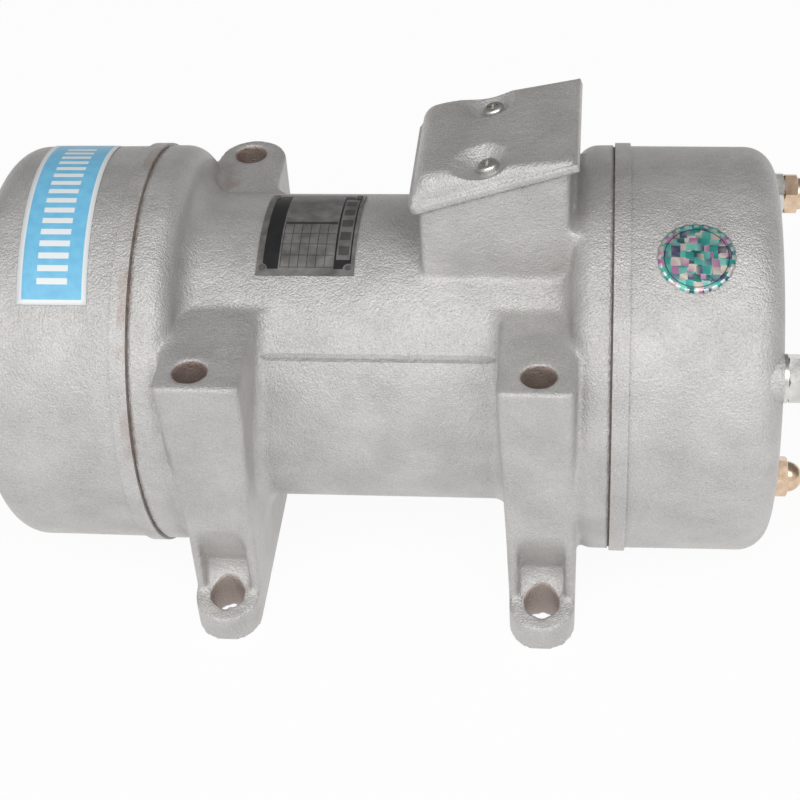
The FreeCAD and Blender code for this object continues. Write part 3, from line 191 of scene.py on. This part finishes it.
def soften(node, name, voxel, rounds, keep, shape):
    """A remeshed copy of a CAD casting, reshaped point by point and eased, that stands for it."""
    copy = added(name, nodes[node].data.copy())
    remesh = copy.modifiers.new("remesh", "REMESH")
    remesh.mode, remesh.voxel_size = "VOXEL", voxel
    applied(copy)
    eased = copy.vertex_groups.new(name="eased")
    for vertex in copy.data.vertices:
        vertex.co, share = shape(vertex.co)
        if share:
            eased.add([vertex.index], share, "REPLACE")
    ease = copy.modifiers.new("ease", "SMOOTH")
    ease.factor, ease.iterations, ease.vertex_group = 0.5, rounds, "eased"
    copy.modifiers.new("thin", "DECIMATE").ratio = keep
    applied(copy)
    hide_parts(node)
    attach(copy, "root")


def fade(value, start, end):
    """0 at the start, 1 at the end, and a smooth rise between."""
    share = min(max((value - start) / (end - start), 0.0), 1.0)
    return share * share * (3 - 2 * share)


END_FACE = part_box("housing")[1][0]
FLAT_STRIP, STILL_STRIP = 0.0012, 0.0024
FOOT_TOP_Z, FOOT_BACK_Y, FOOT_EASING, KNEE_Z, LEDGE_Z = 0.040, 0.060, 0.35, 0.047, 0.1445
LEFT_LEG_X, LEFT_LEG_LEAN, LEG_BACK_Y = -0.0557, 0.005, -0.03
LEAN_FROM_X, LEAN_FULL_X, LEAN_TO_X = -0.062, LEFT_LEG_X + 0.003, -0.030


def casting_shape(co):
    """Widens the front left leg inwards as it climbs, and gives each point's share of easing."""
    x, y, z = co
    if abs(x) > END_FACE - FLAT_STRIP:
        return Vector((math.copysign(END_FACE, x), y, z)), 0.0
    if y < LEG_BACK_Y:
        inner = fade(x, LEAN_FROM_X, LEFT_LEG_X) * fade(x, LEAN_TO_X, LEAN_FULL_X)
        x += LEFT_LEG_LEAN * inner * fade(z, KNEE_Z, LEDGE_Z)
    easing = FOOT_EASING if z < FOOT_TOP_Z and abs(y) > FOOT_BACK_Y else 1.0
    if abs(x) > END_FACE - STILL_STRIP:
        easing = 0.0
    return Vector((x, y, z)), easing


soften("housing", "casting", voxel=0.0012, rounds=7, keep=0.42, shape=casting_shape)


# ---- stator, rotor and shaft ----
# Pressed packs of electrical sheet with an enamelled copper winding and cast aluminium end rings,
# on a turned steel shaft with its keys and spacer sleeves.
def plain(name, dark, light, metallic, roughness, scale, depth, stretch=(1.0, 1.0, 1.0)):
    """A material that varies between two colours with a fine grain, which may be drawn out."""
    made, sockets, place = surface(name, metallic)
    mapped = place.node("ShaderNodeMapping", Vector=place, Scale=stretch)
    fleck = noise(mapped, scale, 4.0)
    join(fleck.ramp((0.3, dark), (0.7, light)), sockets["Base Color"])
    join(fleck * 0.2 + (roughness - 0.1), sockets["Roughness"])
    join(fleck.node("ShaderNodeBump", Strength=0.3, Distance=depth, Height=fleck), sockets["Normal"])
    return made


def dress(material, *names):
    """Gives CAD nodes one material each, in every slot that they have."""
    for name in names:
        mesh = nodes[name].data
        if not mesh.materials:
            mesh.materials.append(material)
        for i in range(len(mesh.materials)):
            mesh.materials[i] = material


TURNED = (8.0, 0.3, 0.3)
sheet = plain("lamination", (0.18, 0.19, 0.21), (0.38, 0.39, 0.41), 0.9, 0.42, 260.0, 0.0003,
              stretch=TURNED)
copper = plain("copper", (0.36, 0.12, 0.05), (0.72, 0.34, 0.18), 0.9, 0.35, 800.0, 0.0004)
aluminium = plain("cast_aluminium", (0.58, 0.58, 0.59), (0.80, 0.80, 0.81), 1.0, 0.42, 500.0, 0.0002)
turned = plain("machined_steel", (0.40, 0.41, 0.43), (0.64, 0.65, 0.67), 1.0, 0.30, 300.0, 0.0001,
               stretch=TURNED)
dress(sheet, "stator_core", "rotor_core")
dress(copper, "stator_windings")
dress(aluminium, "rotor_end_rings")
dress(turned, "shaft", "spacer_sleeves", "weight_keys")

# ---- bearings and their shields ----
# Ground bearing steel between bare cast-iron shields and covers, held by zinc-plated screws and
# closed by black rubber shaft seals.
ground = plain("bearing_steel", (0.60, 0.61, 0.63), (0.76, 0.77, 0.79), 1.0, 0.14, 300.0, 0.00002)
iron = plain("bare_iron", (0.12, 0.12, 0.125), (0.26, 0.26, 0.27), 0.8, 0.48, 350.0, 0.0002)
zinc = plain("zinc_steel", (0.60, 0.59, 0.56), (0.78, 0.77, 0.74), 1.0, 0.27, 240.0, 0.0001)
rubber = plain("gasket_rubber", (0.035, 0.026, 0.022), (0.10, 0.07, 0.055), 0.0, 0.75, 400.0, 0.0003)
dress(ground, "bearing_outer_rings", "bearing_inner_rings", "bearing_balls", "bearing_cages")
dress(iron, "bearing_shield_left", "bearing_shield_right", "bearing_covers")
dress(zinc, "shield_screws", "bearing_cover_screws")
dress(rubber, "shaft_seals")

# ---- eccentric weights ----
# Half-moons of bare grey iron on split hubs that clamp bolts close, with washers and nuts on the
# shaft's ends.
dress(iron, "inner_weight_left", "inner_weight_right", "outer_weight_left", "outer_weight_right")
dress(zinc, "clamp_bolts", "clamp_nuts", "shaft_end_washers", "shaft_end_nuts")

# ---- terminal box ----
# Three brass studs with lugs and nuts on a moulded board, rubber-insulated leads, an earth screw
# and a nylon cable gland in the rear wall.
bakelite = plain("board_plastic", (0.05, 0.042, 0.036), (0.10, 0.085, 0.075), 0.0, 0.50, 600.0, 0.0001)
nylon = plain("nylon", (0.03, 0.03, 0.033), (0.06, 0.06, 0.065), 0.0, 0.42, 500.0, 0.0001)
brass = plain("brass", (0.60, 0.42, 0.29), (0.84, 0.66, 0.49), 1.0, 0.24, 200.0, 0.0001)
dress(bakelite, "terminal_board")
dress(brass, "terminal_studs", "terminal_lugs", "terminal_nuts")
dress(rubber, "motor_leads", "gland_seal", "lid_gasket")
dress(zinc, "earth_screw", "lid_screws")
dress(nylon, "gland_body", "gland_nut")

# ---- terminal box lid ----
# A thick casting with a crowned top, held on its sloping seat by two pan-head screws in scooped
# hollows. It is painted in place with the housing.
LID_ORIGIN_X, LID_ORIGIN_Z, LID_TILT = 0.0196, 0.1845, math.radians(17.5)
LID_LENGTH, LID_SCREW_Y, SCREW_SEAT_H, RIM_TOP_H = 0.0642, 0.0215, 0.0060, 0.0046
HUMP_START, HUMP_TOP, HUMP_REACH, DIP = 0.0018, 0.0085, 0.0085, 0.0310
HUMP_RISE, HUMP_TOP_H, DIP_FALL, DIP_H, END_FALL = 0.0098, 0.0144, 0.0030, 0.0114, 0.0052
CROWN_LEFT_H, CROWN_SLOPE, EASED_FROM_H = 0.0130, 0.0780, 0.0016
HOLLOW_FLAT, HOLLOW_SLOPE, HOLLOW_OPENING, SMALLEST_REACH = 0.0052, 0.85, 0.45, 0.001


def crown_height(along):
    """The crown's height over the lid's seat: a hump on the left, a dip, then a thin right end."""
    if along < HUMP_TOP:
        back = (HUMP_TOP - max(along, HUMP_START)) / HUMP_REACH
        return RIM_TOP_H + HUMP_RISE * math.sqrt(1 - back ** 2)
    if along < DIP:
        return HUMP_TOP_H - DIP_FALL * fade(along, HUMP_TOP, DIP)
    return DIP_H - END_FALL * (along - DIP) / (LID_LENGTH - DIP)


def lid_shape(co):
    """Gives the straight crown its hump and opens the screws' seats into hollows."""
    x, y, z = co[0] - LID_ORIGIN_X, co[1], co[2] - LID_ORIGIN_Z
    along = x * math.cos(LID_TILT) + z * math.sin(LID_TILT)
    height = z * math.cos(LID_TILT) - x * math.sin(LID_TILT)
    if height > RIM_TOP_H:
        straight = CROWN_LEFT_H - CROWN_SLOPE * max(along - HUMP_START, 0.0)
        stretched = (height - RIM_TOP_H) * (crown_height(along) - RIM_TOP_H)
        height = RIM_TOP_H + stretched / (straight - RIM_TOP_H)
        reach = math.hypot(along - LID_LENGTH / 2, abs(y) - LID_SCREW_Y)
        outward = max(abs(y) - LID_SCREW_Y, 0.0) / max(reach, SMALLEST_REACH)
        slope = HOLLOW_SLOPE - HOLLOW_OPENING * outward
        height = min(height, SCREW_SEAT_H + max(reach - HOLLOW_FLAT, 0.0) * slope)
    x = along * math.cos(LID_TILT) - height * math.sin(LID_TILT)
    z = along * math.sin(LID_TILT) + height * math.cos(LID_TILT)
    return Vector((x + LID_ORIGIN_X, y, z + LID_ORIGIN_Z)), float(height > EASED_FROM_H)


soften("terminal_lid", "lid_casting", voxel=0.0006, rounds=6, keep=0.5, shape=lid_shape)

# ---- end covers ----
# Deep cast covers with a rim band, painted with the housing. Studs with a washer, a zinc hexagon
# nut and a brass domed nut hold each one against a thin brown paper gasket.
paper = plain("gasket_paper", (0.12, 0.095, 0.08), (0.24, 0.20, 0.17), 0.0, 0.75, 400.0, 0.0002)
dress(hammer, "end_cover_left", "end_cover_right")
dress(paper, "cover_gasket_left", "cover_gasket_right")
dress(zinc, "cover_studs", "stud_washers", "stud_nuts")
dress(brass, "stud_cap_nuts")

# ---- rating plate ----
# Printed aluminium bent round the barrel and riveted at its corners: a dark bar at the left, a
# framed box at the right and ruled columns between them.
PLATE_START, PLATE_SWEEP, PLATE_HEIGHT = 63.5, 48.5, 0.0571
BAR_SPAN, TABLE_SPAN, BOX_SPAN, WINDOW_SPAN = (0.065, 0.225), (0.24, 0.78), (0.79, 0.965), (0.81, 0.95)
INK_HEIGHT, WINDOW_HEIGHT = (0.05, 0.95), (0.13, 0.87)
TABLE_HEIGHT, MIDDLE_HEIGHT = (0.06, 0.48), (0.485, 0.515)
COLUMN_PITCH, ROW_PITCH, EYELET_PLACE, EYELET_R = 0.09, 0.105, 0.445, 0.0024
shaft_low, shaft_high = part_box("shaft")
axis_z = (shaft_low[2] + shaft_high[2]) / 2
plate_left, plate_right = (corner[0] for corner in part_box("rating_plate"))
plate_length = plate_right - plate_left
printed, sockets, place = surface("plate_aluminium", metallic=0.5)
x, y, z = place.xyz()
across = (x - plate_left) / plate_length
up = ((z - axis_z).math("ARCTAN2", y * -1.0) * math.degrees(1.0) - PLATE_START) / PLATE_SWEEP
bar = across.between(*BAR_SPAN) * up.between(*INK_HEIGHT)
box = across.between(*BOX_SPAN) * up.between(*INK_HEIGHT)
window = across.between(*WINDOW_SPAN) * up.between(*WINDOW_HEIGHT)
columns = ((across - TABLE_SPAN[0]) / COLUMN_PITCH).math("FRACT") < 0.09
rows = ((up - TABLE_HEIGHT[0]) / ROW_PITCH).math("FRACT") < 0.10
grid = (columns + rows * 0.6).math("MINIMUM", 1.0)
rules = across.between(*TABLE_SPAN) * up.between(*TABLE_HEIGHT) * grid
middle_rule = across.between(*TABLE_SPAN) * up.between(*MIDDLE_HEIGHT)
corner_x = (abs(across - 0.5) - EYELET_PLACE) * plate_length
corner_y = (abs(up - 0.5) - EYELET_PLACE) * PLATE_HEIGHT
eyelet = (corner_x ** 2.0 + corner_y ** 2.0) < EYELET_R ** 2
blocks = across.between(0.825, 0.935) * (((up - 0.14) * 7.0).math("FRACT")).between(0.22, 0.8) * window
ink = (bar + (box - window) + blocks * 0.6 + rules * 0.75 + middle_rule * 0.8) * (1.0 - eyelet)
smudge = noise(place, 160.0, 5.0)
metal = smudge.ramp((0.3, (0.15, 0.143, 0.14)), (0.7, (0.30, 0.29, 0.285)))
join(ink.math("MULTIPLY", 0.95, clamp=True).mix(metal, (0.02, 0.021, 0.023, 1)), sockets["Base Color"])
join(smudge * 0.25 + 0.28, sockets["Roughness"])
rivet = plain("rivet_aluminium", (0.10, 0.10, 0.10), (0.24, 0.235, 0.23), 0.7, 0.45, 500.0, 0.0001)
dress(printed, "rating_plate")
dress(rivet, "plate_rivets")

# ---- stickers on the end covers ----
# Printed foils stuck round the covers: each is a flat bmesh with its own plane as UV, bent to the
# cover and given its thickness. The blue one has a white edge and rungs, and carries no words.
cover_low, cover_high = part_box("end_cover_right")
RIM_BAND_PROUD = 0.0013
COVER_R = (cover_high[1] - cover_low[1]) / 2 - RIM_BAND_PROUD


def built(name, bm):
    """A new object in the scene, made from a finished bmesh."""
    mesh = bpy.data.meshes.new(name)
    bm.to_mesh(mesh)
    bm.free()
    return added(name, mesh)


def stick_on(name, bm, size_x, size_y, centre_x, centre_angle, thickness, material, lean=0.0):
    """Bends a flat sheet in the XY plane round a cover, its top set over by the lean, as a piece."""
    layer = bm.loops.layers.uv.new("flat")
    for face in bm.faces:
        for loop in face.loops:
            loop[layer].uv = (loop.vert.co.x / size_x + 0.5, loop.vert.co.y / size_y + 0.5)
    for vert in bm.verts:
        turn = math.radians(centre_angle) + vert.co.y / COVER_R
        vert.co = (centre_x + vert.co.x + lean * vert.co.y / size_y, -COVER_R * math.cos(turn),
                   axis_z + COVER_R * math.sin(turn))
    bm.normal_update()
    foil = built(name, bm)
    foil.data.materials.append(material)
    foil.data.shade_smooth()
    solid = foil.modifiers.new("thickness", "SOLIDIFY")
    solid.thickness, solid.offset = thickness, 1.0
    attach(foil, "root")


def plane_uv(place):
    """The sheet's own two coordinates and both as one vector."""
    flat = Signal(place.tree, place.tree.nodes.new("ShaderNodeTexCoord").outputs["UV"])
    return flat.xyz()[:2] + [flat]


BLUE_WIDTH, BLUE_HEIGHT, BLUE_LEAN, BLUE_ANGLE, BLUE_THICK = 0.0295, 0.108, -0.005, 83.0, 0.0003
blue, sockets, place = surface("blue_sticker")
u, v = plane_uv(place)[:2]
edge = 1.0 - u.between(0.07, 0.93) * v.between(0.02, 0.98)
rung = u.between(0.28, 0.72) * (((v - 0.08) * 19.0).math("FRACT") < 0.48) * v.between(0.08, 0.925)
white = (edge + rung).math("MINIMUM", 1.0)
ageing = noise(place, 220.0, 4.0)
tint = ageing.ramp((0.3, (0.15, 0.47, 0.72)), (0.7, (0.20, 0.56, 0.80)))
join(white.mix(tint, (0.80, 0.83, 0.84, 1)), sockets["Base Color"])
join(ageing * 0.2 + 0.28, sockets["Roughness"])
bm = bmesh.new()
bmesh.ops.create_grid(bm, x_segments=8, y_segments=60, size=0.5)
bmesh.ops.scale(bm, vec=(BLUE_WIDTH, BLUE_HEIGHT, 1.0), verts=bm.verts)
left_low, left_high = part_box("end_cover_left")
stick_on("blue_sticker", bm, BLUE_WIDTH, BLUE_HEIGHT, (left_low[0] + left_high[0]) / 2, BLUE_ANGLE,
         BLUE_THICK, blue, lean=BLUE_LEAN)

# The round seal is a rainbow mosaic inside a thin dark ring and a notched, toothed edge.
SEAL_R, SEAL_NOTCHES, SEAL_RINGS, SEAL_STEPS = 0.0158, 24, 8, 96
SEAL_SHIFT_X, SEAL_ANGLE, SEAL_THICK = -0.0016, 62.8, 0.0002
rainbow, sockets, place = surface("rainbow_foil", metallic=0.5)
u, v, flat = plane_uv(place)
reach = ((u - 0.5) ** 2.0 + (v - 0.5) ** 2.0).math("SQRT")
turn = (v - 0.5).math("ARCTAN2", u - 0.5) / (2 * math.pi)
tiles = flat.node("ShaderNodeTexVoronoi", "Color", {"distance": "CHEBYCHEV"}, Vector=flat, Scale=10.0,
                  Randomness=0.6)
pick_hue, pick_gloss = tiles.xyz()[:2]
wash = noise(flat, 2.6, 1.0)
colour = (pick_hue * 0.5 + wash * 0.5).ramp(
    (0.22, (0.02, 0.09, 0.09)), (0.34, (0.04, 0.33, 0.29)), (0.46, (0.24, 0.58, 0.50)),
    (0.54, (0.06, 0.06, 0.14)), (0.63, (0.62, 0.58, 0.47)), (0.72, (0.42, 0.19, 0.36)))
pale_tooth = ((turn * SEAL_NOTCHES + 0.25).math("FRACT") < 0.5) * (reach > 0.44) * 0.7
ring = reach.between(0.398, 0.412) * 0.85
toothed = pale_tooth.mix(colour, (0.62, 0.64, 0.62, 1))
join(ring.mix(toothed, (0.03, 0.03, 0.04, 1)), sockets["Base Color"])
join(pick_gloss * 0.25 + 0.18, sockets["Roughness"])
bm = bmesh.new()
spoke = [bm.verts.new((SEAL_R * step / SEAL_RINGS, 0.0, 0.0)) for step in range(SEAL_RINGS + 1)]
for first, second in zip(spoke, spoke[1:]):
    bm.edges.new((first, second))
bmesh.ops.spin(bm, geom=bm.verts[:] + bm.edges[:], cent=(0, 0, 0), axis=(0, 0, 1), angle=2 * math.pi,
               steps=SEAL_STEPS, use_merge=True, use_duplicate=False)
bmesh.ops.remove_doubles(bm, verts=bm.verts, dist=0.00001)
for vert in bm.verts:
    if vert.co.length > 0.99 * SEAL_R:
        vert.co *= 0.985 + 0.015 * math.cos(SEAL_NOTCHES * math.atan2(vert.co.y, vert.co.x))
bmesh.ops.recalc_face_normals(bm, faces=bm.faces)
if bm.faces[0].normal.z < 0:
    bmesh.ops.reverse_faces(bm, faces=bm.faces)
seal_x = (cover_low[0] + cover_high[0]) / 2 + SEAL_SHIFT_X
stick_on("foil_seal", bm, 2 * SEAL_R, 2 * SEAL_R, seal_x, SEAL_ANGLE, SEAL_THICK, rainbow)

# ---- studio ----
# A white floor that keeps a faint shadow, one wide softbox high in front, and a room that is pale in
# front of the motor and dim behind it.
FLOOR_HALF, FLOOR_WHITENESS = 6.0, 0.94


def white_for(target, shown, share, rays):
    """These kinds of ray see plain white mixed over the shown shader, by that share."""
    tree = target.id_data
    paths = tree.nodes.new("ShaderNodeLightPath").outputs
    seen = Signal(tree, paths[rays[0]])
    for ray in rays[1:]:
        seen = seen.math("MAXIMUM", Signal(tree, paths[ray]))
    is_world = target.node.bl_idname == "ShaderNodeOutputWorld"
    white = tree.nodes.new("ShaderNodeBackground" if is_world else "ShaderNodeEmission")
    chosen = tree.nodes.new("ShaderNodeMixShader")
    join(seen * share, chosen.inputs[0])
    tree.links.new(shown, chosen.inputs[1])
    tree.links.new(white.outputs[0], chosen.inputs[2])
    tree.links.new(chosen.outputs[0], target)
    white.inputs["Color"].default_value = (1, 1, 1, 1)


bm = bmesh.new()
bmesh.ops.create_grid(bm, x_segments=1, y_segments=1, size=FLOOR_HALF)
floor = built("floor", bm)
pale, sockets = surface("pale_floor")[:2]
sockets["Base Color"].default_value = (0.86, 0.86, 0.85, 1)
sockets["Roughness"].default_value = 0.9
white_for(pale.node_tree.nodes["Material Output"].inputs["Surface"],
          pale.node_tree.nodes["Principled BSDF"].outputs[0], FLOOR_WHITENESS,
          ("Is Camera Ray", "Is Glossy Ray", "Is Transmission Ray"))
floor.data.materials.append(pale)


def softbox(name, spot, width, height, power):
    """A rectangular lamp that faces the motor's middle."""
    light = bpy.data.lights.new(name, "AREA")
    light.shape, light.size, light.size_y, light.energy = "RECTANGLE", width, height, power
    lamp = added(name, light)
    aim = Vector((0.0, 0.0, axis_z)) - Vector(spot)
    lamp.matrix_world = Matrix.Translation(spot) @ aim.to_track_quat("-Z", "Y").to_matrix().to_4x4()


softbox("front_softbox", (0.1, -0.95, 1.45), 2.4, 0.9, 17.0)

world = bpy.data.worlds.new("studio")
bpy.context.scene.world = world
world.use_nodes = True
sky = Signal(world.node_tree, world.node_tree.nodes.new("ShaderNodeTexCoord").outputs["Generated"])
depth = sky.xyz()[1] * 0.5 + 0.5
glow = depth.ramp((0.0, (0.85, 0.85, 0.85)), (0.30, (0.70, 0.70, 0.70)), (0.55, (0.27, 0.27, 0.27)),
                  (1.0, (0.20, 0.20, 0.20)))
backdrop = world.node_tree.nodes["Background"]
join(glow, backdrop.inputs["Color"])
backdrop.inputs["Strength"].default_value = 1.0
white_for(world.node_tree.nodes["World Output"].inputs["Surface"], backdrop.outputs[0], 1.0,
          ("Is Camera Ray",))

# ---- camera ----
# It looks down at 40 degrees from the front, a little from the motor's right, with a slight roll.
lens = bpy.data.cameras.new("camera")
lens.sensor_width, lens.lens = 36.0, 81.33
camera = added("camera", lens)
bpy.context.scene.camera = camera
ELEVATION, SWING, ROLL = (math.radians(angle) for angle in (40.212, -8.286, -4.463))
DISTANCE, AIM = 0.8356, Vector((0.0021, 0.0, axis_z - 0.0328))
forward = Vector((math.sin(SWING) * math.cos(ELEVATION), math.cos(SWING) * math.cos(ELEVATION),
                  -math.sin(ELEVATION)))
facing = forward.to_track_quat("-Z", "Y").to_matrix().to_4x4() @ Matrix.Rotation(ROLL, 4, "Z")
camera.matrix_world = Matrix.Translation(AIM - forward * DISTANCE) @ facing
bpy.context.scene.view_settings.view_transform = "Standard"
